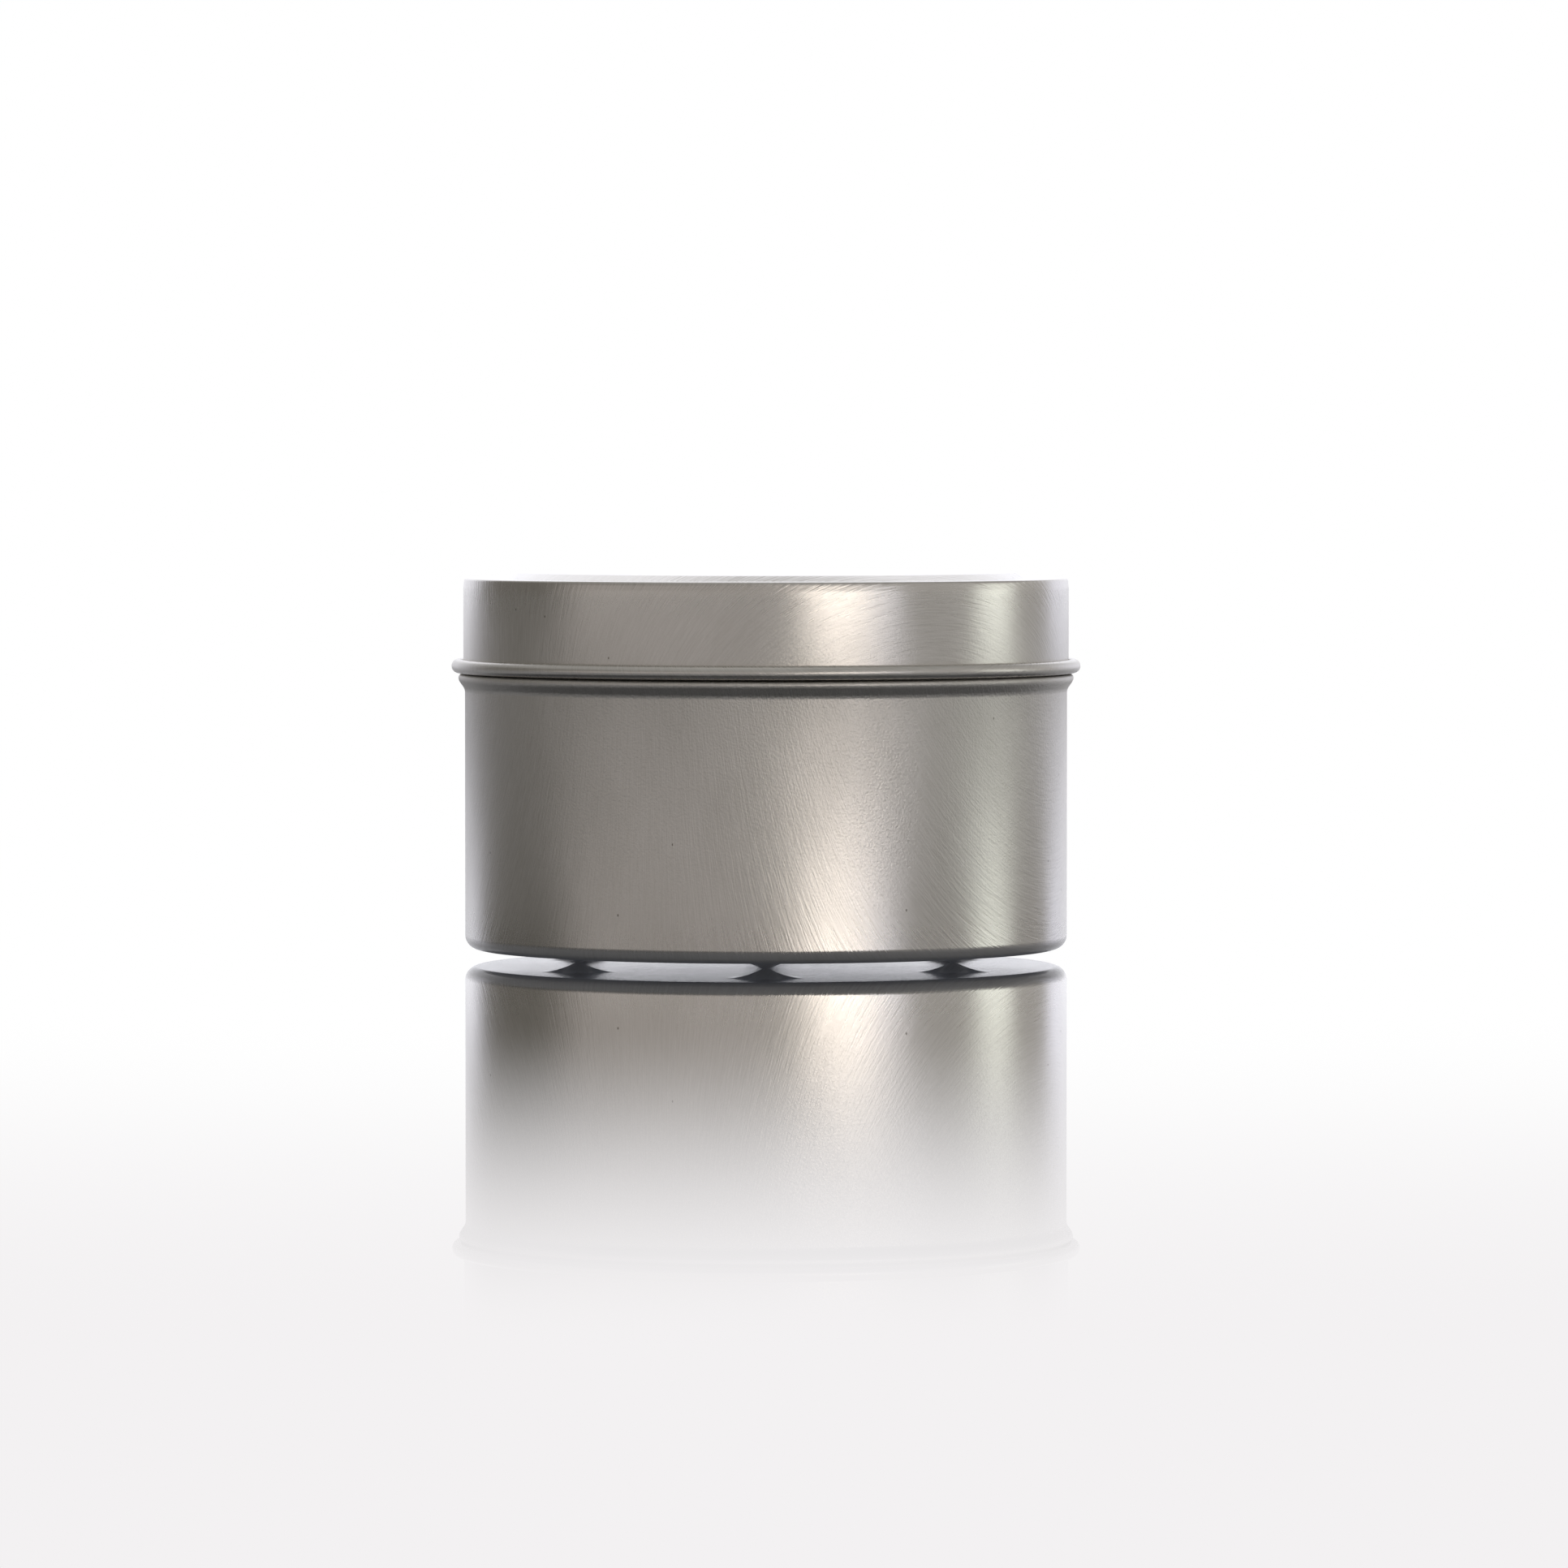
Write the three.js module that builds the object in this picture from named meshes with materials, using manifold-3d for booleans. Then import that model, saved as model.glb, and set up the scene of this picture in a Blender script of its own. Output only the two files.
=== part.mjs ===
// Round slip-lid candle tin: a seamless tin and its lid, each drawn in one piece from tinplate.
// Millimetres, +Z up. The origin is on the tin's axis, on the plane that its feet stand on.
import * as THREE from "three";
import { mergeVertices } from "three/addons/utils/BufferGeometryUtils.js";
import Module from "manifold-3d";

const wasm = await Module();
wasm.setup();

// Sheet
const SHEET = 0.25; // thickness of the tinplate

// Tin: straight wall, flat bottom
const WALL_R = 38.5; // outside of the wall
const BOTTOM_Z = 1.15; // underside of the flat bottom, held up by the feet
const BOTTOM_ROUND = 1.7; // outside radius where the bottom turns into the wall

// Tin: bead that stops the lid, and the neck above it
const BEAD_R = 39.25; // outermost reach of the bead
const BEAD_TOP_Z = 36.35; // flat ledge on top of the bead
const BEAD_ROUND = 0.75; // radius of the bead's crest
const BEAD_LEAN = THREE.MathUtils.degToRad(35); // the bead's lower flank, from upright
const BEAD_FOOT_ROUND = 1.2;
const NECK_R = 38.15; // outside of the neck, inside the lid
const NECK_FOOT_ROUND = 0.25;
const RIM_Z = 47.9; // top of the rolled rim
const RIM_CURL_R = 0.6; // the rim's edge is rolled inwards
const RIM_CURL_END = THREE.MathUtils.degToRad(285);

// Tin: feet pressed down out of the bottom
const FOOT_COUNT = 6;
const FOOT_CIRCLE_R = 27.4; // circle that the feet stand on
const FOOT_BASE_R = 5.0; // where a foot leaves the flat bottom
const FOOT_TIP_R = 0.45; // small flat that touches the table
const FOOT_FLARE = 1.6; // power by which a foot widens from its tip to its base

// Lid
const LID_R = 38.7; // outside of the skirt
const LID_TOP_Z = 48.5; // flat rim of the top
const LID_ROUND = 0.35; // outside radius between the top and the skirt
const DRAW_LINE_Z = 47.15; // above this line the skirt leans in a little
const DRAW_LEAN = 0.1; // how far it leans in at the top
const PANEL_HEIGHT = 0.72; // raised round panel in the middle of the top
const PANEL_R = 31.7; // edge of the panel's flat
const PANEL_FOOT_R = 33.0; // where the panel's slope meets the rim
const PANEL_ROUND = 0.5;
const CURL_R = 0.89; // the skirt's edge is rolled outwards
const CURL_Z = 37.28; // middle of the roll
const CURL_END = THREE.MathUtils.degToRad(485);

// Fineness of the turned faces
const TURN_STEPS = 48;
const ARC_STEP = THREE.MathUtils.degToRad(34);
const FOOT_TURN_STEPS = 16;
const FOOT_SLOPE_STEPS = 4;

// One corner of an outline: radius from the axis, height, and how far it is rounded.
function corner(r, z, round = 0) {
  return { at: new THREE.Vector2(r, z), round };
}

// Points on an arc, from one angle to another, both ends included.
function arc(centre, radius, from, to) {
  const steps = Math.max(1, Math.ceil(Math.abs(to - from) / ARC_STEP));
  const points = [];
  for (let i = 0; i <= steps; i += 1) {
    const angle = from + ((to - from) * i) / steps;
    points.push(new THREE.Vector2(Math.cos(angle), Math.sin(angle)).multiplyScalar(radius).add(centre));
  }
  return points;
}

// The arc that rounds one corner, tangent to the lines on both sides of it.
function roundedCorner(before, { at, round }, after) {
  const back = before.clone().sub(at).normalize();
  const ahead = after.clone().sub(at).normalize();
  const half = Math.acos(THREE.MathUtils.clamp(back.dot(ahead), -1, 1)) / 2;
  const inwards = back.clone().add(ahead).normalize();
  const centre = inwards.multiplyScalar(round / Math.sin(half)).add(at);
  const reach = round / Math.tan(half);
  const start = back.multiplyScalar(reach).add(at).sub(centre);
  const end = ahead.multiplyScalar(reach).add(at).sub(centre);
  const sweep = Math.atan2(start.cross(end), start.dot(end));
  return arc(centre, round, start.angle(), start.angle() + sweep);
}

// A line through corners, with its rounded ones as arcs.
function roundedLine(corners) {
  return corners.flatMap((each, i) => {
    const inside = i > 0 && i < corners.length - 1;
    return inside && each.round > 0
      ? roundedCorner(corners[i - 1].at, each, corners[i + 1].at)
      : [each.at];
  });
}

// The closed outline of a sheet: one face of it, and the other face SHEET to the left of that.
function sheetOutline(face) {
  const far = face.map((point, i) => {
    const back = face[Math.max(i - 1, 0)];
    const ahead = face[Math.min(i + 1, face.length - 1)];
    const into = (i > 0 ? point.clone().sub(back) : ahead.clone().sub(point)).normalize();
    const out = (i < face.length - 1 ? ahead.clone().sub(point) : point.clone().sub(back)).normalize();
    const along = into.clone().add(out).normalize();
    const left = new THREE.Vector2(-along.y, along.x);
    return left.multiplyScalar(SHEET / along.dot(into)).add(point);
  });
  return [...face, ...far.reverse()];
}

// Turns an outline about the Z axis. An outline that doesn't meet the axis has to be closed.
function turned(outline, steps) {
  return new THREE.LatheGeometry(outline, steps).rotateX(Math.PI / 2);
}

function solidOf(geometry) {
  const bare = geometry.clone().deleteAttribute("normal").deleteAttribute("uv");
  const merged = mergeVertices(bare);
  const mesh = new wasm.Mesh({
    numProp: 3,
    vertProperties: new Float32Array(merged.attributes.position.array),
    triVerts: new Uint32Array(merged.index.array),
  });
  return new wasm.Manifold(mesh);
}

function geometryOf(solid) {
  const { vertProperties, triVerts } = solid.getMesh();
  const geometry = new THREE.BufferGeometry();
  geometry.setAttribute("position", new THREE.BufferAttribute(vertProperties, 3));
  geometry.setIndex(new THREE.BufferAttribute(triVerts, 1));
  geometry.computeVertexNormals();
  return geometry;
}

// Outside of the tin, from the middle of its bottom up to the edge of its rolled rim.
function tinFace() {
  const crestR = BEAD_R - BEAD_ROUND + (BEAD_ROUND * (1 + Math.sin(BEAD_LEAN))) / Math.cos(BEAD_LEAN);
  const beadFootZ = BEAD_TOP_Z - (crestR - WALL_R) / Math.tan(BEAD_LEAN);
  const curlCentre = new THREE.Vector2(NECK_R - RIM_CURL_R, RIM_Z - RIM_CURL_R);
  const curl = arc(curlCentre, RIM_CURL_R, 0, RIM_CURL_END);
  const wall = roundedLine([
    corner(0, BOTTOM_Z),
    corner(WALL_R, BOTTOM_Z, BOTTOM_ROUND),
    corner(WALL_R, beadFootZ, BEAD_FOOT_ROUND),
    corner(crestR, BEAD_TOP_Z, BEAD_ROUND),
    corner(NECK_R, BEAD_TOP_Z, NECK_FOOT_ROUND),
    corner(NECK_R, curlCentre.y),
  ]);
  return [...wall.slice(0, -1), ...curl];
}

// Inside of the lid, from the middle of its top down to the edge of its rolled skirt.
function lidFace() {
  const insideR = LID_R - SHEET;
  const rimZ = LID_TOP_Z - SHEET;
  const panelZ = rimZ + PANEL_HEIGHT;
  const curlCentre = new THREE.Vector2(insideR + CURL_R, CURL_Z);
  const curl = arc(curlCentre, CURL_R, Math.PI, CURL_END);
  const cap = roundedLine([
    corner(0, panelZ),
    corner(PANEL_R, panelZ, PANEL_ROUND),
    corner(PANEL_FOOT_R, rimZ, PANEL_ROUND),
    corner(insideR - DRAW_LEAN, rimZ, LID_ROUND - SHEET),
    corner(insideR, DRAW_LINE_Z),
    corner(insideR, CURL_Z),
  ]);
  return [...cap.slice(0, -1), ...curl];
}

// A solid bell that stands on its small flat tip: a foot's outside, or the dent inside it.
function bell(tipZ, topZ) {
  const outline = [new THREE.Vector2(0, tipZ)];
  for (let i = 0; i <= FOOT_SLOPE_STEPS; i += 1) {
    const rise = i / FOOT_SLOPE_STEPS;
    const radius = THREE.MathUtils.lerp(FOOT_TIP_R, FOOT_BASE_R, rise ** FOOT_FLARE);
    outline.push(new THREE.Vector2(radius, tipZ + BOTTOM_Z * rise));
  }
  outline.push(new THREE.Vector2(FOOT_BASE_R, topZ), new THREE.Vector2(0, topZ));
  return solidOf(turned(outline, FOOT_TURN_STEPS));
}

// The drawn tin with its feet pressed through the bottom.
function tinBodyGeometry() {
  const outside = bell(0, BOTTOM_Z + SHEET / 2);
  const dent = bell(SHEET, BOTTOM_Z + 2 * SHEET);
  let solid = solidOf(turned(sheetOutline(tinFace()), TURN_STEPS));
  for (let i = 0; i < FOOT_COUNT; i += 1) {
    const angle = (2 * Math.PI * i) / FOOT_COUNT - Math.PI / 2;
    const place = [FOOT_CIRCLE_R * Math.cos(angle), FOOT_CIRCLE_R * Math.sin(angle), 0];
    solid = solid.add(outside.translate(place)).subtract(dent.translate(place));
  }
  return geometryOf(solid);
}

function lidGeometry() {
  return turned(sheetOutline(lidFace()), TURN_STEPS);
}

function piece(name, geometry) {
  const tinplate = new THREE.MeshStandardMaterial({ color: 0xb8b5ae, metalness: 1, roughness: 0.38 });
  const mesh = new THREE.Mesh(geometry, tinplate);
  mesh.name = name;
  return mesh;
}

const candleTin = new THREE.Group();
candleTin.add(piece("tin_body", tinBodyGeometry()));
candleTin.add(piece("lid", lidGeometry()));

export default candleTin;
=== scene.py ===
"""Looks of a round slip-lid candle tin: two pieces of drawn tinplate on a glossy sheet in a white studio."""
import itertools
import logging
import math
from collections.abc import Callable, Iterable
from dataclasses import dataclass
from enum import Enum

import bmesh
import bpy
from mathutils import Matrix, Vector


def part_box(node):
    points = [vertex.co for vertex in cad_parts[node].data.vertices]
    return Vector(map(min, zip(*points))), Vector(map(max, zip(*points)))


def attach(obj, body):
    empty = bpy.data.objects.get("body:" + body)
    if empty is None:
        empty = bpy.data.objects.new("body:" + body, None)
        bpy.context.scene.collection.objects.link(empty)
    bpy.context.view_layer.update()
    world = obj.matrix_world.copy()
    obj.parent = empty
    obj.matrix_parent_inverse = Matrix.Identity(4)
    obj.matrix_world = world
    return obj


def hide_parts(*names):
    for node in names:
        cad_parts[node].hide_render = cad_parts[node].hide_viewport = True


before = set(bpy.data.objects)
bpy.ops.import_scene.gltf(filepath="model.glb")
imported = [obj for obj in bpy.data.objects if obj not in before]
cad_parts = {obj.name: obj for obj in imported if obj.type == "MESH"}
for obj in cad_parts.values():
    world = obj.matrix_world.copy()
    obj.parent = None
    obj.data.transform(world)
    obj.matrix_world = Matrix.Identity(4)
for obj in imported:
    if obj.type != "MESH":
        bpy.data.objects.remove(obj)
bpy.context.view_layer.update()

Tree = bpy.types.NodeTree
Socket = bpy.types.NodeSocket

LOG = logging.getLogger("candle_tin")
MM = 0.001
TOUCH = 0.01 * MM  # two places closer than this are the same place
WELD = TOUCH / 10  # vertices closer than this are joined
ON_END = math.radians(90)

# How finely every piece is made
TURN_STEPS = 256  # faces round the axis
ARC_STEP = math.radians(11)  # the angle that one face of a rounded corner or a roll turns by, at most
CUT_EDGE = 0.2  # how wide a cut edge is softened, as a share of the sheet's thickness
CUT_ANGLE = math.radians(60)  # faces that meet more sharply than this have a cut edge between them
SMOOTH_ANGLE = math.radians(40)  # faces that meet less sharply than this are shaded as one

# What a mesh of sheet metal carries for its finish
SHEET_MAP = "sheet"  # UV map: where each point lay on the flat blank, in millimetres, grain along U
BLANK = "blank_radius"  # metres from the blank's middle
DRAWN = "drawn"  # how far the sheet was stretched up the wall: 0 is not at all, 0.5 is half as long again

# Patterns
NOISE_LOW = 0.35  # a noise pattern seldom goes below this
NOISE_HIGH = 0.65  # or above this
LAYERS_APART = 31  # mm that one layer of lines is moved by from the one before
ACROSS_GRAIN = 0.25  # the turn, of a whole one, that spreads a highlight across the grain

# The sockets of a Mix node that mixes colours, which are told apart by number
MIX_SHARE = 0
MIX_FROM = 6
MIX_TO = 7
MIX_RESULT = 2


class Face(Enum):
    """The face of the sheet that a section draws; its value is Solidify's offset towards the other face."""

    OUTSIDE = -1.0
    INSIDE = 1.0


def linear(colour: str) -> tuple[float, float, float, float]:
    """Turns an sRGB colour into Blender's linear one.

    Args:
        colour: the colour as "#rrggbb".

    Returns:
        Linear red, green and blue, and an alpha of 1.
    """
    channels = [int(colour[i:i + 2], 16) / 255 for i in (1, 3, 5)]
    red, green, blue = (c / 12.92 if c <= 0.04045 else ((c + 0.055) / 1.055) ** 2.4 for c in channels)
    return red, green, blue, 1.0


def lit(colour: str, level: float) -> tuple[float, float, float, float]:
    """A light's colour at a brightness, where a level of 1 shows as the colour itself."""
    red, green, blue, alpha = linear(colour)
    return red * level, green * level, blue * level, alpha


def add_node(tree: Tree, kind: str, inputs: dict[str | int, object] | None = None,
             **settings: object) -> bpy.types.Node:
    """Adds one node with its settings and links.

    Args:
        tree: the node tree that gets the node.
        kind: Blender's type of node.
        inputs: for each input, by name or number, the value to set or the output socket to link.
        **settings: the node's own properties.

    Returns:
        The new node.
    """
    node = tree.nodes.new(kind)
    for name, value in settings.items():
        setattr(node, name, value)
    for socket, value in (inputs or {}).items():
        if isinstance(value, Socket):
            tree.links.new(value, node.inputs[socket])
        else:
            node.inputs[socket].default_value = value
    return node


@dataclass(frozen=True)
class Grain:
    """One layer of lines left on the sheet by rolling and grinding.

    Real ones are a few hundredths of a millimetre wide, so these are drawn several times coarser, to show.
    """

    length: float  # mm along the sheet's grain
    width: float  # mm across it
    depth: float  # mm from the top of a ridge to the bottom of a line
    scuff: float  # how much rougher a ridge is than a line
    detail: float  # octaves of finer lines within it
    finer: float = 0.6  # how strong each octave is beside the one before it

    def draw(self, tree: Tree, place: Socket, offset: float) -> Socket:
        """Draws the layer's lines.

        Args:
            tree: the material's node tree.
            place: the place on the blank, in millimetres, grain along X.
            offset: millimetres that the pattern is moved by, so that layers and pieces differ.

        Returns:
            A number that is high on a ridge and low in a line, around 0.5.
        """
        stretched = add_node(tree, "ShaderNodeMapping", {
            "Vector": place, "Location": (offset, offset, 0), "Scale": (1 / self.length, 1 / self.width, 1)})
        return add_node(tree, "ShaderNodeTexNoise", {
            "Vector": stretched.outputs[0], "Scale": 1.0, "Detail": self.detail, "Roughness": self.finer},
            noise_dimensions="2D").outputs[0]


@dataclass(frozen=True)
class Tinplate:
    """Tinplate: thin cold-rolled steel with a flow-melted coat of tin, drawn to shape, unlacquered.

    The steel's ground finish shows through the tin as fine straight lines. So it mirrors its surroundings
    softly along the lines, and smears them further across. Drawing fans the lines out round the wall, and
    roughens the sheet the more it is stretched, so that highlights are crisp by the drawn corner and dim
    towards the edge.
    """

    name: str
    bright: str = "#dcd9d4"
    dull: str = "#cfccc6"
    rough: float = 0.25
    polish: float = 0.11  # less on the flat bottom and top, which the press left alone
    roughening: float = 0.36  # added where the sheet was drawn to twice its length
    fan: float = 0.5  # how much further light is smeared across the lines than along them
    cloud: float = 12.0  # mm across a faint cloud
    cloud_share: float = 0.25  # of the way from bright to dull, for a full cloud; the lines go the rest
    cloud_blur: float = 0.012  # how much rougher a full cloud is
    peel: float = 0.3  # mm between the bumps that stretching raises
    peel_depth: float = 0.06  # mm, where drawn to twice the length; deeper than real, so that it shows
    speck_colour: str = "#8f8a83"
    speck: float = 0.16  # mm, radius of a speck
    speck_gap: float = 7.0  # mm between the places that may have a speck
    specked: float = 0.10  # the share of them that do
    offset: float = 0.0  # mm between this sheet's pattern and another's
    lines: tuple[Grain, ...] = (
        Grain(length=6.0, width=0.32, depth=0.0150, scuff=0.05, detail=1.0),
        Grain(length=2.4, width=0.18, depth=0.0080, scuff=0.05, detail=1.0),
    )

    def relief(self, tree: Tree, ridges: list[Socket], drawn: Socket) -> Socket:
        """Makes the surface's small shape.

        Args:
            tree: the material's node tree.
            ridges: the pattern of each layer of lines.
            drawn: how far the sheet was stretched.

        Returns:
            The bumped normal.
        """
        spot = add_node(tree, "ShaderNodeTexCoord").outputs["Object"]
        bumps = add_node(tree, "ShaderNodeTexNoise", {
            "Vector": spot, "Scale": 1 / (self.peel * MM), "Detail": 1.0})
        raised = add_node(tree, "ShaderNodeMath", {0: bumps.outputs[0], 1: drawn}, operation="MULTIPLY")
        height = add_node(tree, "ShaderNodeMath", {0: raised.outputs[0], 1: self.peel_depth * MM},
                          operation="MULTIPLY").outputs[0]
        for layer, ridge in zip(self.lines, ridges):
            height = add_node(tree, "ShaderNodeMath", {0: ridge, 1: layer.depth * MM, 2: height},
                              operation="MULTIPLY_ADD").outputs[0]
        return add_node(tree, "ShaderNodeBump", {"Height": height, "Distance": 1.0}).outputs[0]

    def tint(self, tree: Tree, place: Socket, clouds: Socket, ridges: list[Socket]) -> Socket:
        """Makes the colour: faint clouds, duller lines, and here and there a tiny dark speck.

        Args:
            tree: the material's node tree.
            place: the place on the blank, in millimetres, grain along X.
            clouds: a cloudy number from 0 to 1.
            ridges: the pattern of each layer of lines.

        Returns:
            The base colour.
        """
        dulled = add_node(tree, "ShaderNodeMath", {0: clouds, 1: self.cloud_share},
                          operation="MULTIPLY").outputs[0]
        line_share = (1 - self.cloud_share) / len(ridges)
        for ridge in ridges:
            line = add_node(tree, "ShaderNodeMapRange", {
                "Value": ridge, "From Min": NOISE_HIGH, "From Max": NOISE_LOW})
            dulled = add_node(tree, "ShaderNodeMath", {0: line.outputs[0], 1: line_share, 2: dulled},
                              operation="MULTIPLY_ADD").outputs[0]
        ground = add_node(tree, "ShaderNodeMix", {
            MIX_SHARE: dulled, MIX_FROM: linear(self.bright), MIX_TO: linear(self.dull)},
            data_type="RGBA").outputs[MIX_RESULT]
        cell = add_node(tree, "ShaderNodeTexVoronoi", {"Vector": place, "Scale": 1 / self.speck_gap},
                        voronoi_dimensions="2D")
        chance = add_node(tree, "ShaderNodeSeparateColor", {0: cell.outputs["Color"]})
        chosen = add_node(tree, "ShaderNodeMath", {0: chance.outputs[0], 1: self.specked},
                          operation="LESS_THAN")
        radius = self.speck / self.speck_gap
        dot = add_node(tree, "ShaderNodeMapRange", {
            "Value": cell.outputs["Distance"], "From Min": radius, "From Max": radius / 2})
        speck = add_node(tree, "ShaderNodeMath", {0: dot.outputs[0], 1: chosen.outputs[0]},
                         operation="MULTIPLY")
        return add_node(tree, "ShaderNodeMix", {
            MIX_SHARE: speck.outputs[0], MIX_FROM: ground, MIX_TO: linear(self.speck_colour)},
            data_type="RGBA").outputs[MIX_RESULT]

    def material(self) -> bpy.types.Material:
        """Makes the finish.

        Returns:
            The material, which needs the piece's SHEET_MAP and its DRAWN attribute.
        """
        made = bpy.data.materials.new(self.name)
        made.use_nodes = True
        tree = made.node_tree
        shader = tree.nodes["Principled BSDF"]
        place = add_node(tree, "ShaderNodeUVMap", uv_map=SHEET_MAP).outputs[0]
        drawn = add_node(tree, "ShaderNodeAttribute", attribute_name=DRAWN).outputs["Fac"]
        noise = add_node(tree, "ShaderNodeTexNoise", {
            "Vector": place, "Scale": 1 / self.cloud, "Detail": 3.0}, noise_dimensions="2D")
        clouds = add_node(tree, "ShaderNodeMapRange", {
            "Value": noise.outputs[0], "From Min": NOISE_LOW, "From Max": NOISE_HIGH}).outputs[0]
        ridges = [layer.draw(tree, place, self.offset + LAYERS_APART * i)
                  for i, layer in enumerate(self.lines)]
        facing = add_node(tree, "ShaderNodeTexCoord").outputs["Normal"]
        upright = add_node(tree, "ShaderNodeSeparateXYZ", {0: facing}).outputs["Z"]
        flat = add_node(tree, "ShaderNodeMath", {0: upright, 1: upright}, operation="MULTIPLY").outputs[0]
        changes = [(drawn, self.roughening), (flat, -self.polish), (clouds, self.cloud_blur)]
        changes += [(ridge, layer.scuff) for layer, ridge in zip(self.lines, ridges)]
        roughness = self.rough - sum(layer.scuff for layer in self.lines) / 2
        for cause, change in changes:
            roughness = add_node(tree, "ShaderNodeMath", {0: cause, 1: change, 2: roughness},
                                 operation="MULTIPLY_ADD").outputs[0]
        tangent = add_node(tree, "ShaderNodeTangent", direction_type="UV_MAP", uv_map=SHEET_MAP)
        tree.links.new(self.tint(tree, place, clouds, ridges), shader.inputs["Base Color"])
        tree.links.new(roughness, shader.inputs["Roughness"])
        tree.links.new(self.relief(tree, ridges, drawn), shader.inputs["Normal"])
        tree.links.new(tangent.outputs[0], shader.inputs["Tangent"])
        shader.inputs["Metallic"].default_value = 1.0
        shader.inputs["Anisotropic"].default_value = self.fan
        shader.inputs["Anisotropic Rotation"].default_value = ACROSS_GRAIN
        return made


class SheetSection:
    """Half the section of a drawn sheet: a wire in the XZ plane that is shaped and then turned about Z."""

    def __init__(self, name: str, start_z: float) -> None:
        """Starts the wire on the axis.

        Args:
            name: the piece's name.
            start_z: height of the sheet's middle.
        """
        bpy.ops.object.select_all(action="DESELECT")
        bpy.ops.mesh.primitive_plane_add(size=MM, location=(0, 0, 0))
        self.piece = bpy.context.object
        self.piece.name = name
        self.piece.data.name = name
        bpy.ops.object.mode_set(mode="EDIT")
        bpy.ops.mesh.merge(type="CENTER")
        bpy.ops.transform.translate(value=(0, 0, start_z))
        self.end = Vector((0, 0, start_z))

    @property
    def mesh(self) -> bmesh.types.BMesh:
        """The mesh in edit mode."""
        return bmesh.from_edit_mesh(self.piece.data)

    def select(self, wanted: Callable[[bmesh.types.BMVert], bool]) -> int:
        """Selects vertices and nothing else.

        Args:
            wanted: says whether a vertex is selected.

        Returns:
            How many are selected.
        """
        bpy.ops.mesh.select_mode(type="VERT")
        bpy.ops.mesh.select_all(action="DESELECT")
        mesh = self.mesh
        for vertex in mesh.verts:
            vertex.select = wanted(vertex)
        mesh.select_flush_mode()
        bmesh.update_edit_mesh(self.piece.data)
        return sum(vertex.select for vertex in mesh.verts)

    def select_at(self, place: Vector) -> None:
        """Selects the vertex at a place."""
        if self.select(lambda vertex: (vertex.co - place).length < TOUCH) != 1:
            raise ValueError(f"{self.piece.name} has no single vertex at {tuple(place)}")

    def line_to(self, radius: float, z: float, steps: int = 1) -> None:
        """Draws the wire on to a place.

        Args:
            radius: how far the place is from the axis.
            z: its height.
            steps: how many equal edges the line has.
        """
        step = (Vector((radius, 0, z)) - self.end) / steps
        for _ in range(steps):
            bpy.ops.mesh.extrude_region_move(TRANSFORM_OT_translate={"value": step})
        self.end = Vector((radius, 0, z))

    def round_off(self, radius: float, z: float, round_radius: float, turn: float) -> None:
        """Rounds one corner of the wire.

        Args:
            radius: how far the corner is from the axis.
            z: its height.
            round_radius: radius of the arc that takes its place.
            turn: the angle that the wire turns by there.
        """
        self.select_at(Vector((radius, 0, z)))
        steps = max(2, math.ceil(turn / ARC_STEP))
        bpy.ops.mesh.bevel(offset_type="OFFSET", offset=round_radius * math.tan(turn / 2),
                           segments=steps - 1, profile=0.5, affect="VERTICES")

    def roll(self, radius: float, turn: float) -> None:
        """Rolls on from the wire's end, which runs straight up or down, round a centre at the same height.

        Args:
            radius: how far the centre is from the end, positive when it is further from the axis.
            turn: the angle of the roll, anticlockwise as seen from the front.
        """
        self.select_at(self.end)
        centre = self.end + Vector((radius, 0, 0))
        bpy.ops.mesh.spin(steps=math.ceil(turn / ARC_STEP), angle=turn, center=centre, axis=(0, 1, 0))

    def wire(self) -> list[bmesh.types.BMVert]:
        """Follows the wire.

        Returns:
            Its vertices in order, from the axis to its loose end.
        """
        mesh = self.mesh
        here = min(mesh.verts, key=lambda vertex: vertex.co.x)
        found = [here]
        seen = {here}
        while True:
            ahead = [edge.other_vert(here) for edge in here.link_edges if edge.other_vert(here) not in seen]
            if not ahead:
                return found
            here = ahead[0]
            found.append(here)
            seen.add(here)

    def mark_working(self) -> None:
        """Notes on each vertex how the press moved it: its place on the blank and its stretch.

        The sheet keeps its area when drawn, so the area inside a ring, divided by pi, is the square of the
        ring's radius on the blank.
        """
        mesh = self.mesh
        blank = mesh.verts.layers.float.new(BLANK)
        drawn = mesh.verts.layers.float.new(DRAWN)
        area = 0.0
        for here, ahead in itertools.pairwise(self.wire()):
            area += (here.co.x + ahead.co.x) * (ahead.co - here.co).length
            ahead[blank] = math.sqrt(area)
            ahead[drawn] = max(0.0, ahead[blank] / ahead.co.x - 1)
        bmesh.update_edit_mesh(self.piece.data)

    def turn(self) -> None:
        """Turns the wire about Z into one skin that faces outwards, with a single vertex on the axis."""
        bpy.ops.mesh.select_all(action="SELECT")
        bpy.ops.mesh.spin(steps=TURN_STEPS, angle=math.tau, center=(0, 0, 0), axis=(0, 0, 1),
                          use_auto_merge=True)
        bpy.ops.mesh.select_all(action="SELECT")
        bpy.ops.mesh.remove_doubles(threshold=WELD)
        bpy.ops.mesh.normals_make_consistent(inside=False)

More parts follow.
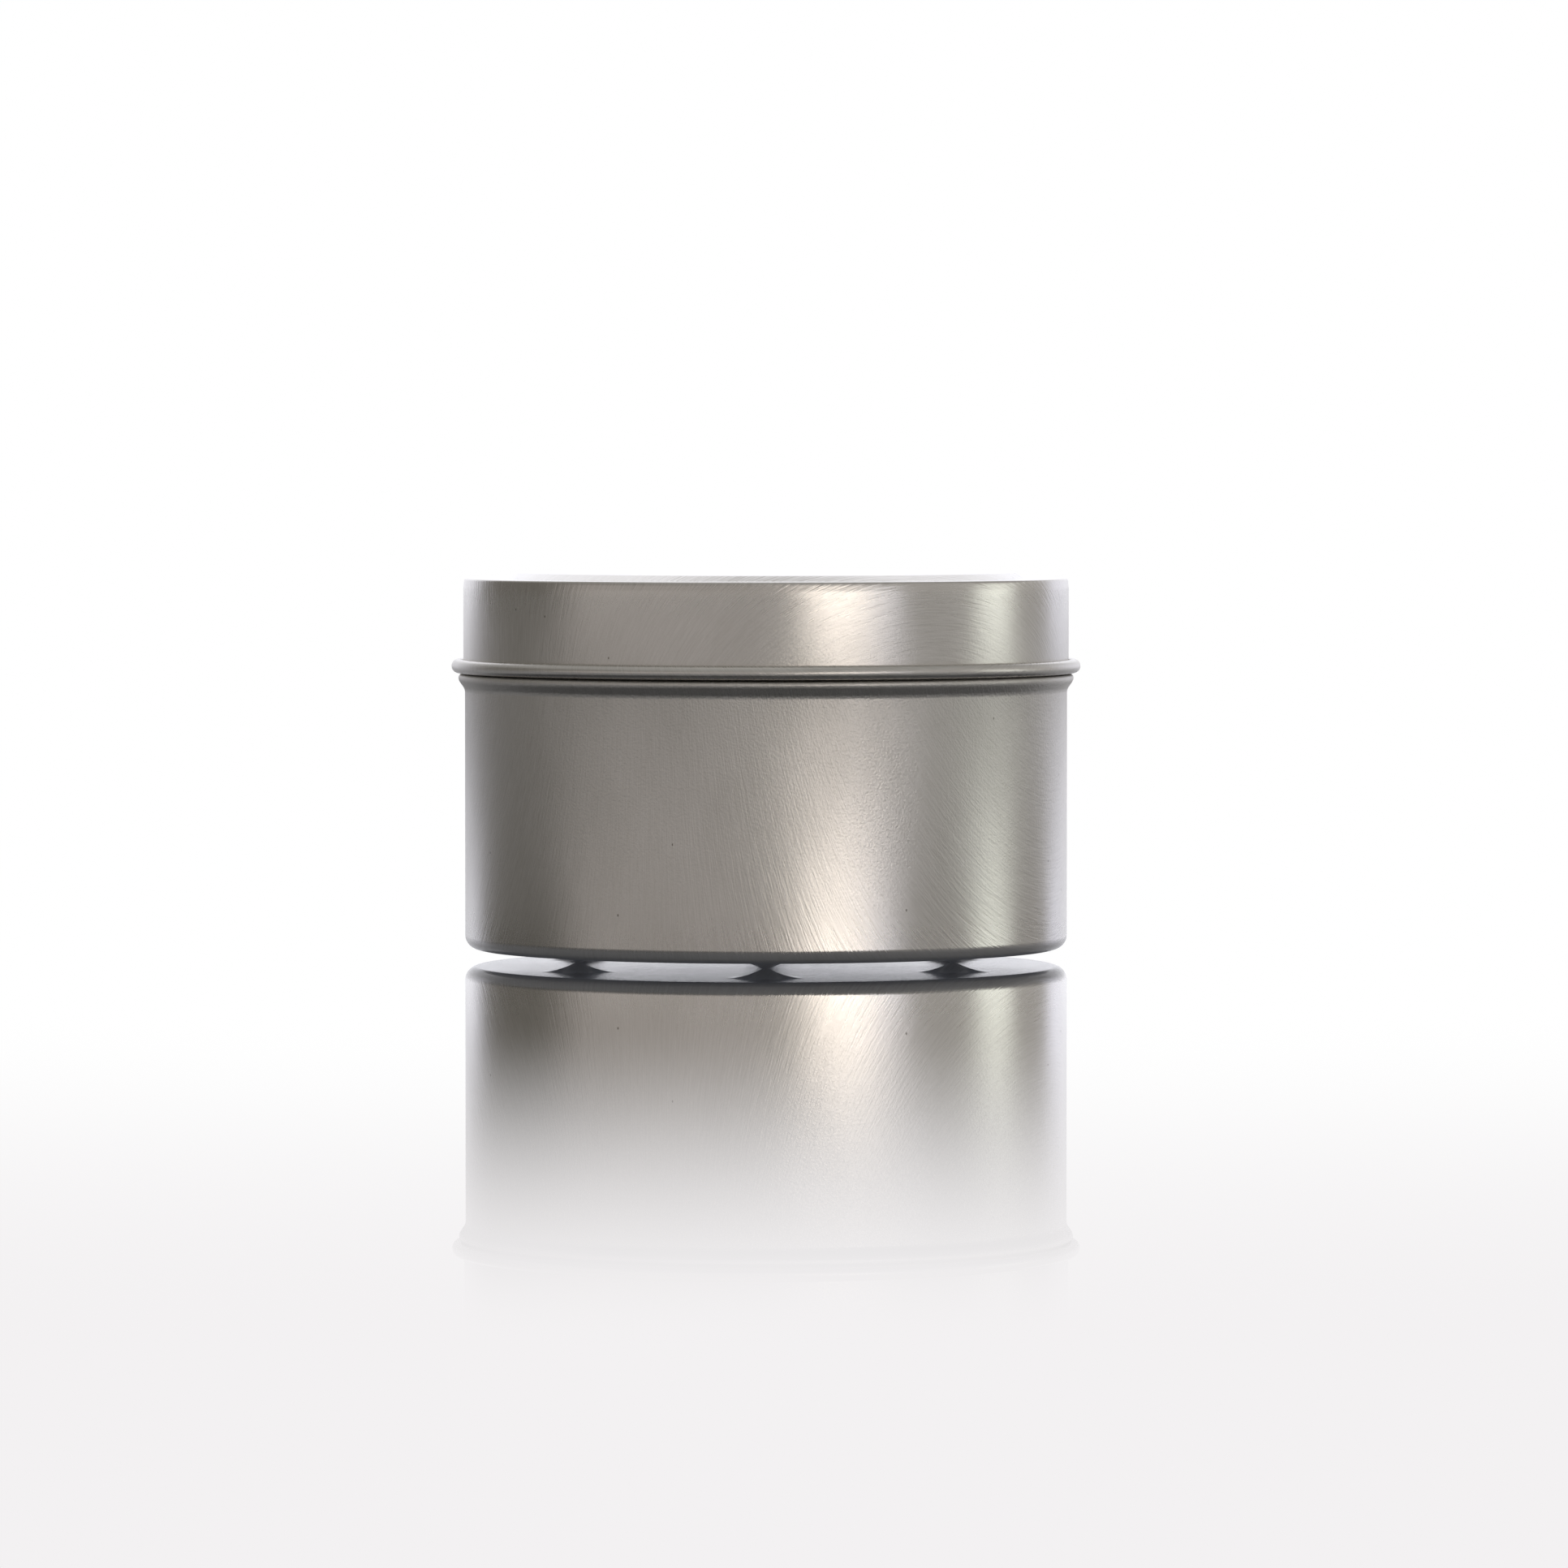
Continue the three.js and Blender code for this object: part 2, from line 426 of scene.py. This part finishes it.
    def thicken(self, thickness: float, face: Face, outwards: Vector) -> None:
        """Gives the sheet its thickness, softens its cut edge and leaves edit mode.

        Args:
            thickness: the sheet's thickness.
            face: the face that the wire drew.
            outwards: the way that the sheet's middle faces.
        """
        mesh = self.mesh
        middle = min(mesh.faces, key=lambda each: each.calc_center_median().xy.length)
        if middle.normal.dot(outwards) < 0:
            bpy.ops.mesh.select_all(action="SELECT")
            bpy.ops.mesh.flip_normals()
        bpy.ops.object.mode_set(mode="OBJECT")
        solid = self.piece.modifiers.new("thickness", "SOLIDIFY")
        solid.thickness = thickness
        solid.offset = face.value
        solid.use_even_offset = True
        soft = self.piece.modifiers.new("cut edge", "BEVEL")
        soft.width = thickness * CUT_EDGE
        soft.segments = 2
        soft.limit_method = "ANGLE"
        soft.angle_limit = CUT_ANGLE
        for modifier in (solid, soft):
            bpy.ops.object.modifier_apply(modifier=modifier.name)
        bpy.ops.object.shade_smooth_by_angle(angle=SMOOTH_ANGLE)
        level = self.piece.modifiers.new("wide faces stay level", "WEIGHTED_NORMAL")
        level.keep_sharp = True
        bpy.ops.object.modifier_apply(modifier=level.name)

    def lay_map(self, grain_turn: float) -> None:
        """Gives the finished piece its SHEET_MAP.

        Args:
            grain_turn: angle of the sheet's grain from the X axis.
        """
        mesh = self.piece.data
        blank = mesh.attributes[BLANK].data
        sheet_map = mesh.uv_layers.new(name=SHEET_MAP)
        for loop in mesh.loops:
            place = mesh.vertices[loop.vertex_index].co.xy
            if place.length > TOUCH:
                angle = math.atan2(place.y, place.x) - grain_turn
                radius = blank[loop.vertex_index].value / MM
                sheet_map.data[loop.index].uv = (radius * math.cos(angle), radius * math.sin(angle))
        mesh.uv_layers.active = sheet_map


@dataclass
class DrawnTin:
    """The seamless tin: flat bottom on pressed feet, wall, stop bead, neck and rolled-in rim."""

    finish: Tinplate
    bead_reach: float  # radius of the bead at its outermost
    rim_z: float  # top of the rolled rim
    sheet: float = 0.25 * MM
    wall_radius: float = 38.5 * MM
    bottom_z: float = 1.15 * MM
    bottom_round: float = 1.7 * MM
    bead_top_z: float = 36.35 * MM
    bead_round: float = 0.75 * MM
    bead_lean: float = math.radians(35)  # the bead's lower flank, from upright
    bead_foot_round: float = 1.2 * MM
    neck_radius: float = 38.15 * MM
    neck_foot_round: float = 0.25 * MM
    rim_roll: float = 0.6 * MM
    rim_turn: float = math.radians(285)  # how far round the rim is rolled
    foot_count: int = 6
    foot_circle: float = 27.4 * MM  # radius of the circle that the feet stand on
    foot_base: float = 5.0 * MM  # radius where a foot leaves the flat bottom
    foot_tip: float = 0.45 * MM  # radius of the small flat that it stands on
    foot_ring: float = 1.0 * MM  # width of the rings of faces that the feet are pressed in
    foot_cuts: int = 2  # how often an edge is cut again where a foot is pressed
    middle_rings: int = 8  # rings of faces from the middle of the bottom out to those
    grain_turn: float = math.radians(-112)

    def section(self) -> SheetSection:
        """Draws the outside of the tin.

        Returns:
            The wire, from the middle of the bottom to the edge of the rim.
        """
        crest = (self.bead_reach - self.bead_round
                 + self.bead_round * (1 + math.sin(self.bead_lean)) / math.cos(self.bead_lean))
        bead_foot_z = self.bead_top_z - (crest - self.wall_radius) / math.tan(self.bead_lean)
        feet_from = self.foot_circle - self.foot_base - self.foot_ring
        feet_to = self.foot_circle + self.foot_base + self.foot_ring
        wire = SheetSection("drawn_tin", self.bottom_z)
        wire.line_to(feet_from, self.bottom_z, self.middle_rings)
        wire.line_to(feet_to, self.bottom_z, round((feet_to - feet_from) / self.foot_ring))
        wire.line_to(self.wall_radius, self.bottom_z)
        wire.line_to(self.wall_radius, bead_foot_z)
        wire.line_to(crest, self.bead_top_z)
        wire.line_to(self.neck_radius, self.bead_top_z)
        wire.line_to(self.neck_radius, self.rim_z - self.rim_roll)
        wire.round_off(self.neck_radius, self.bead_top_z, self.neck_foot_round, ON_END)
        wire.round_off(crest, self.bead_top_z, self.bead_round, ON_END + self.bead_lean)
        wire.round_off(self.wall_radius, bead_foot_z, self.bead_foot_round, self.bead_lean)
        wire.round_off(self.wall_radius, self.bottom_z, self.bottom_round, ON_END)
        wire.roll(-self.rim_roll, self.rim_turn)
        return wire

    def foot_centres(self) -> list[Vector]:
        """Where the feet stand, the first at the front."""
        angles = [math.tau * i / self.foot_count - ON_END for i in range(self.foot_count)]
        return [Vector((math.cos(a), math.sin(a))) * self.foot_circle for a in angles]

    def press_feet(self, wire: SheetSection) -> None:
        """Makes the bottom finer where the feet go, and presses each one down, with a flared slope.

        Args:
            wire: the section, turned and still in edit mode.
        """
        centres = self.foot_centres()
        reach = self.foot_base + self.foot_ring / 2
        low = self.bottom_z + TOUCH
        wire.select(lambda v: v.co.z < low and any((v.co.xy - c).length < reach for c in centres))
        bpy.ops.mesh.subdivide(number_cuts=self.foot_cuts)
        for centre in centres:
            wire.select(lambda v: v.co.z < low and (v.co.xy - centre).length <= self.foot_tip)
            bpy.ops.transform.translate(
                value=(0, 0, -self.bottom_z), use_proportional_edit=True, proportional_edit_falloff="SHARP",
                proportional_size=self.foot_base - self.foot_tip)

    def build(self) -> bpy.types.Object:
        """Models the tin and dresses it.

        Returns:
            The piece, in place.
        """
        wire = self.section()
        wire.mark_working()
        wire.turn()
        self.press_feet(wire)
        wire.thicken(self.sheet, Face.OUTSIDE, Vector((0, 0, -1)))
        wire.lay_map(self.grain_turn)
        wire.piece.data.materials.append(self.finish.material())
        return wire.piece


@dataclass
class DrawnLid:
    """The seamless slip-on lid: raised round panel, flat rim, skirt and rolled-out edge."""

    finish: Tinplate
    roll_reach: float  # radius of the rolled edge at its outermost
    top_z: float  # top of the raised panel
    sheet: float = 0.25 * MM
    skirt_radius: float = 38.7 * MM
    rim_round: float = 0.35 * MM
    panel_height: float = 0.72 * MM
    panel_radius: float = 31.7 * MM  # edge of the panel's flat
    panel_foot: float = 33.0 * MM  # where the panel's slope meets the rim
    panel_round: float = 0.5 * MM
    draw_line: float = 1.35 * MM  # from the rim's top down to the line above which the skirt leans in
    draw_lean: float = 0.1 * MM
    roll_z: float = 37.28 * MM  # middle of the roll
    roll_turn: float = math.radians(305)  # how far round the edge is rolled
    panel_rings: int = 10  # rings of faces in the panel
    rim_rings: int = 4
    shoulder_rings: int = 3  # from the rim down to the draw line
    skirt_rings: int = 12
    grain_turn: float = math.radians(33)

    def section(self) -> SheetSection:
        """Draws the inside of the lid.

        Returns:
            The wire, from the middle of the top to the edge of the roll.
        """
        inside = self.skirt_radius - self.sheet
        panel_z = self.top_z - self.sheet
        rim_z = panel_z - self.panel_height
        line_z = rim_z + self.sheet - self.draw_line
        slope = math.atan2(self.panel_height, self.panel_foot - self.panel_radius)
        lean = math.atan2(self.draw_lean, rim_z - line_z)
        wire = SheetSection("drawn_lid", panel_z)
        wire.line_to(self.panel_radius, panel_z, self.panel_rings)
        wire.line_to(self.panel_foot, rim_z)
        wire.line_to(inside - self.draw_lean, rim_z, self.rim_rings)
        wire.line_to(inside, line_z, self.shoulder_rings)
        wire.line_to(inside, self.roll_z, self.skirt_rings)
        wire.round_off(inside - self.draw_lean, rim_z, self.rim_round - self.sheet, ON_END - lean)
        wire.round_off(self.panel_foot, rim_z, self.panel_round, slope)
        wire.round_off(self.panel_radius, panel_z, self.panel_round, slope)
        wire.roll((self.roll_reach - inside) / 2, self.roll_turn)
        return wire

    def build(self) -> bpy.types.Object:
        """Models the lid and dresses it.

        Returns:
            The piece, in place.
        """
        wire = self.section()
        wire.mark_working()
        wire.turn()
        wire.thicken(self.sheet, Face.INSIDE, Vector((0, 0, 1)))
        wire.lay_map(self.grain_turn)
        wire.piece.data.materials.append(self.finish.material())
        return wire.piece


@dataclass
class GlossySheet:
    """The sheet of glossy white acrylic that the tin stands on. Distances are in metres from the tin."""

    radius: float = 4.0
    sides: int = 96
    near: str = "#ffffff"
    far: str = "#f3f1f2"  # painted shade: greyer towards the camera, away from the white backdrop's light
    far_from: float = 0.20  # on the Y axis, where near starts to turn into far
    far_to: float = -0.34
    mirror_from: float = 0.13  # its mirror image of the tin starts to fade here
    mirror_to: float = 0.50
    mirror_full: float = 0.66  # the reflectance, as the eye gets low, at which it is a full mirror
    painted_light_below: str = "#8a8c90"  # painted light: what the tin sees of it straight below, lighter than its shadow round it
    ring: str = "#404246"  # what it sees of it close by, where its own shadow falls
    beyond: str = "#bfc0c3"  # what it sees of it further off
    painted_glow: str = "#303237"  # painted glow: light that stands in for what the acrylic scatters into the tin's shadow
    below_to: float = 0.041
    ring_from: float = 0.056
    ring_to: float = 0.066
    beyond_from: float = 0.105
    gloss_blur: float = 0.08  # roughness of its gloss, as the tin sees it
    refraction: float = 1.49

    def material(self) -> bpy.types.Material:
        """Makes the acrylic.

        Returns:
            To the camera, a white with painted shade towards the camera and a fading mirror image; to the
            tin, the sheet with painted light below it and its painted shadow round it.
        """
        made = bpy.data.materials.new("gloss_acrylic")
        made.use_nodes = True
        tree = made.node_tree
        tree.nodes.clear()
        place = add_node(tree, "ShaderNodeTexCoord").outputs["Object"]
        axes = add_node(tree, "ShaderNodeSeparateXYZ", {0: place})
        distance = add_node(tree, "ShaderNodeVectorMath", {0: place}, operation="LENGTH").outputs["Value"]
        # Painted shade: the sheet's emitted white greys towards the camera, as if less of the backdrop's
        # light reached it
        shade = add_node(tree, "ShaderNodeMapRange", {
            "Value": axes.outputs["Y"], "From Min": self.far_from, "From Max": self.far_to},
            interpolation_type="SMOOTHSTEP")
        white_with_painted_shade = add_node(tree, "ShaderNodeMix", {
            MIX_SHARE: shade.outputs[0], MIX_FROM: linear(self.near), MIX_TO: linear(self.far)},
            data_type="RGBA")
        white = add_node(tree, "ShaderNodeEmission", {"Color": white_with_painted_shade.outputs[MIX_RESULT]})
        mirror = add_node(tree, "ShaderNodeBsdfGlossy", {"Color": linear("#ffffff"), "Roughness": 0.0})
        gloss = add_node(tree, "ShaderNodeFresnel", {"IOR": self.refraction})
        glancing = add_node(tree, "ShaderNodeMapRange", {
            "Value": gloss.outputs[0], "From Max": self.mirror_full})
        close = add_node(tree, "ShaderNodeMapRange", {
            "Value": distance, "From Min": self.mirror_to, "From Max": self.mirror_from},
            interpolation_type="SMOOTHSTEP")
        kept = add_node(tree, "ShaderNodeMath", {0: glancing.outputs[0], 1: close.outputs[0]},
                        operation="MULTIPLY")
        seen = add_node(tree, "ShaderNodeMixShader", {
            0: kept.outputs[0], 1: white.outputs[0], 2: mirror.outputs[0]})
        # Painted light: the sheet lighter straight below the tin, with a painted glow in its shadow there
        painted_light_share = add_node(tree, "ShaderNodeMapRange", {
            "Value": distance, "From Min": self.ring_from, "From Max": self.below_to},
            interpolation_type="SMOOTHSTEP").outputs[0]
        # Painted shadow: the dark ring round the tin fades out into the sheet's plain tone further off
        painted_shadow_fade = add_node(tree, "ShaderNodeMapRange", {
            "Value": distance, "From Min": self.ring_to, "From Max": self.beyond_from},
            interpolation_type="SMOOTHSTEP").outputs[0]
        # The sheet as the tin sees it: painted light below it, painted shadow round it, then its plain tone
        dull = add_node(tree, "ShaderNodeMix", {
            MIX_SHARE: painted_light_share, MIX_FROM: linear(self.ring), MIX_TO: linear(self.painted_light_below)},
            data_type="RGBA").outputs[MIX_RESULT]
        dull = add_node(tree, "ShaderNodeMix", {
            MIX_SHARE: painted_shadow_fade, MIX_FROM: dull, MIX_TO: linear(self.beyond)},
            data_type="RGBA").outputs[MIX_RESULT]
        under = add_node(tree, "ShaderNodeBsdfPrincipled", {
            "Base Color": dull, "Roughness": self.gloss_blur, "IOR": self.refraction,
            "Emission Color": linear(self.painted_glow), "Emission Strength": painted_light_share})
        ray = add_node(tree, "ShaderNodeLightPath")
        either = add_node(tree, "ShaderNodeMixShader", {
            0: ray.outputs["Is Camera Ray"], 1: under.outputs[0], 2: seen.outputs[0]})
        add_node(tree, "ShaderNodeOutputMaterial", {"Surface": either.outputs[0]})
        return made

    def build(self) -> bpy.types.Object:
        """Lays the sheet on the plane that the tin stands on.

        Returns:
            The sheet.
        """
        bpy.ops.object.select_all(action="DESELECT")
        bpy.ops.mesh.primitive_circle_add(vertices=self.sides, radius=self.radius, fill_type="NGON")
        sheet = bpy.context.object
        sheet.name = "acrylic_sheet"
        sheet.data.materials.append(self.material())
        return sheet


@dataclass(frozen=True)
class Panel:
    """A soft panel of light that stands round the tin. Angles are in degrees, as seen from the tin."""

    azimuth: float  # its middle, to the right of the room's front
    width: float
    side_blur: float
    top: float  # elevation of its upper edge
    top_blur: float
    colour: str
    level: float


@dataclass
class Studio:
    """A plain white studio: bright backdrop behind the tin, dim room in front of it, and soft panels."""

    camera_distance: float = 1.145
    camera_height: float = 64.5 * MM
    camera_side: float = 2.3 * MM
    camera_dip: float = math.radians(2.12)
    lens: float = 205.5
    left: str = "#6f6c67"
    right: str = "#b9b6b3"
    left_to: float = -0.9  # X of the direction in which the walls start to turn from left into right
    right_from: float = 0.6
    ceiling: str = "#a5a4a2"
    ceiling_rise: tuple[float, float] = (15, 40)  # degrees of elevation over which the walls turn into it
    overhead: str = "#bcbbb9"
    overhead_rise: tuple[float, float] = (55, 85)
    # A wide dim panel at the front left, the backdrop and its glow above, a bright pair at the front right,
    # and a strip at the right
    panels: tuple[Panel, ...] = (
        Panel(azimuth=-38, width=86, side_blur=16, top=12, top_blur=16, colour="#c5bfbc", level=0.95),
        Panel(azimuth=178, width=83, side_blur=10, top=16, top_blur=12, colour="#ebecf9", level=1.42),
        Panel(azimuth=182, width=56, side_blur=24, top=58, top_blur=20, colour="#f4f5fc", level=1.35),
        Panel(azimuth=44, width=15, side_blur=10, top=5, top_blur=5, colour="#f6f5ff", level=2.3),
        Panel(azimuth=27, width=24, side_blur=19, top=5, top_blur=5, colour="#fff6ef", level=4.3),
        Panel(azimuth=97, width=19, side_blur=9, top=7, top_blur=7, colour="#fbfff8", level=1.95),
    )

    def room(self) -> None:
        """Makes the world: plain white to the camera and in the mirror image, and the room to the tin."""
        world = bpy.data.worlds.new("studio")
        bpy.context.scene.world = world
        world.use_nodes = True
        tree = world.node_tree
        tree.nodes.clear()
        way = add_node(tree, "ShaderNodeTexCoord").outputs["Generated"]
        axes = add_node(tree, "ShaderNodeSeparateXYZ", {0: way})
        front = add_node(tree, "ShaderNodeMath", {0: axes.outputs["Y"], 1: -1.0}, operation="MULTIPLY")
        azimuth = add_node(tree, "ShaderNodeMath", {0: axes.outputs["X"], 1: front.outputs[0]},
                           operation="ARCTAN2").outputs[0]
        elevation = add_node(tree, "ShaderNodeMath", {0: axes.outputs["Z"]}, operation="ARCSINE").outputs[0]
        side = add_node(tree, "ShaderNodeMapRange", {
            "Value": axes.outputs["X"], "From Min": self.left_to, "From Max": self.right_from})
        colour = add_node(tree, "ShaderNodeMix", {
            MIX_SHARE: side.outputs[0], MIX_FROM: linear(self.left), MIX_TO: linear(self.right)},
            data_type="RGBA").outputs[MIX_RESULT]
        for above, (start, end) in ((self.ceiling, self.ceiling_rise), (self.overhead, self.overhead_rise)):
            rise = add_node(tree, "ShaderNodeMapRange", {
                "Value": elevation, "From Min": math.radians(start), "From Max": math.radians(end)},
                interpolation_type="SMOOTHSTEP")
            colour = add_node(tree, "ShaderNodeMix", {
                MIX_SHARE: rise.outputs[0], MIX_FROM: colour, MIX_TO: linear(above)},
                data_type="RGBA").outputs[MIX_RESULT]
        for panel in self.panels:
            colour = self.hang(tree, panel, azimuth, elevation, colour)
        ray = add_node(tree, "ShaderNodeLightPath")
        plain = add_node(tree, "ShaderNodeMath", {
            0: ray.outputs["Is Camera Ray"], 1: ray.outputs["Is Singular Ray"]}, operation="MAXIMUM")
        shown = add_node(tree, "ShaderNodeMix", {
            MIX_SHARE: plain.outputs[0], MIX_FROM: colour, MIX_TO: linear("#ffffff")},
            data_type="RGBA")
        light = add_node(tree, "ShaderNodeBackground", {"Color": shown.outputs[MIX_RESULT]})
        add_node(tree, "ShaderNodeOutputWorld", {"Surface": light.outputs[0]})

    def hang(self, tree: Tree, panel: Panel, azimuth: Socket, elevation: Socket, behind: Socket) -> Socket:
        """Hangs one panel in the room.

        Args:
            tree: the world's node tree.
            panel: the panel.
            azimuth: the azimuth looked along, in radians.
            elevation: the elevation looked along, in radians.
            behind: the room's colour without the panel.

        Returns:
            The room's colour with the panel.
        """
        off = add_node(tree, "ShaderNodeMath", {0: azimuth, 1: math.radians(panel.azimuth)},
                       operation="SUBTRACT")
        around = add_node(tree, "ShaderNodeMath", {0: off.outputs[0], 1: math.pi, 2: -math.pi},
                          operation="WRAP")
        across = add_node(tree, "ShaderNodeMath", {0: around.outputs[0]}, operation="ABSOLUTE").outputs[0]
        inside = 1.0
        edges = ((across, panel.width / 2, panel.side_blur), (elevation, panel.top, panel.top_blur))
        for angle, edge, blur in edges:
            outer = math.radians(edge + blur / 2)
            inner = math.radians(edge - blur / 2)
            within = add_node(tree, "ShaderNodeMapRange", {
                "Value": angle, "From Min": outer, "From Max": inner}, interpolation_type="SMOOTHSTEP")
            inside = add_node(tree, "ShaderNodeMath", {0: within.outputs[0], 1: inside},
                              operation="MULTIPLY").outputs[0]
        return add_node(tree, "ShaderNodeMix", {
            MIX_SHARE: inside, MIX_FROM: behind, MIX_TO: lit(panel.colour, panel.level)},
            data_type="RGBA").outputs[MIX_RESULT]

    def camera(self) -> bpy.types.Object:
        """Stands the camera in front of the tin, low and far off, looking slightly down.

        Returns:
            The camera.
        """
        data = bpy.data.cameras.new("camera")
        data.lens = self.lens
        data.clip_start = 0.01
        data.clip_end = 20.0
        made = bpy.data.objects.new("camera", data)
        made.location = (self.camera_side, -self.camera_distance, self.camera_height)
        made.rotation_euler = (ON_END - self.camera_dip, 0, 0)
        bpy.context.scene.collection.objects.link(made)
        bpy.context.scene.camera = made
        return made

    def build(self) -> None:
        """Makes the room, the acrylic sheet and the camera, and sets how colours are shown."""
        self.room()
        GlossySheet().build()
        self.camera()
        bpy.context.scene.view_settings.view_transform = "Standard"


def ride_with(piece: bpy.types.Object, body: str, node: str) -> None:
    """Ties a finished piece to the frame.

    Args:
        piece: the piece, in place.
        body: the body that it moves with.
        node: the CAD node that it stands for.
    """
    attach(piece, body)
    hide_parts(node)
    piece.data.calc_loop_triangles()
    LOG.info("%s rides on %s: %d triangles", piece.name, body, len(piece.data.loop_triangles))


def main() -> None:
    """Builds the tin, the lid and the studio around the frame."""
    logging.basicConfig(level=logging.INFO, format="%(name)s: %(message)s")
    tin_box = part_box("tin_body")
    lid_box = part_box("lid")
    tin = DrawnTin(Tinplate("tinplate_of_tin"), bead_reach=tin_box[1].x, rim_z=tin_box[1].z)
    ride_with(tin.build(), "tin", "tin_body")
    lid = DrawnLid(Tinplate("tinplate_of_lid", offset=500.0), roll_reach=lid_box[1].x, top_z=lid_box[1].z)
    ride_with(lid.build(), "lid", "lid")
    Studio().build()


if __name__ == "__main__":
    main()
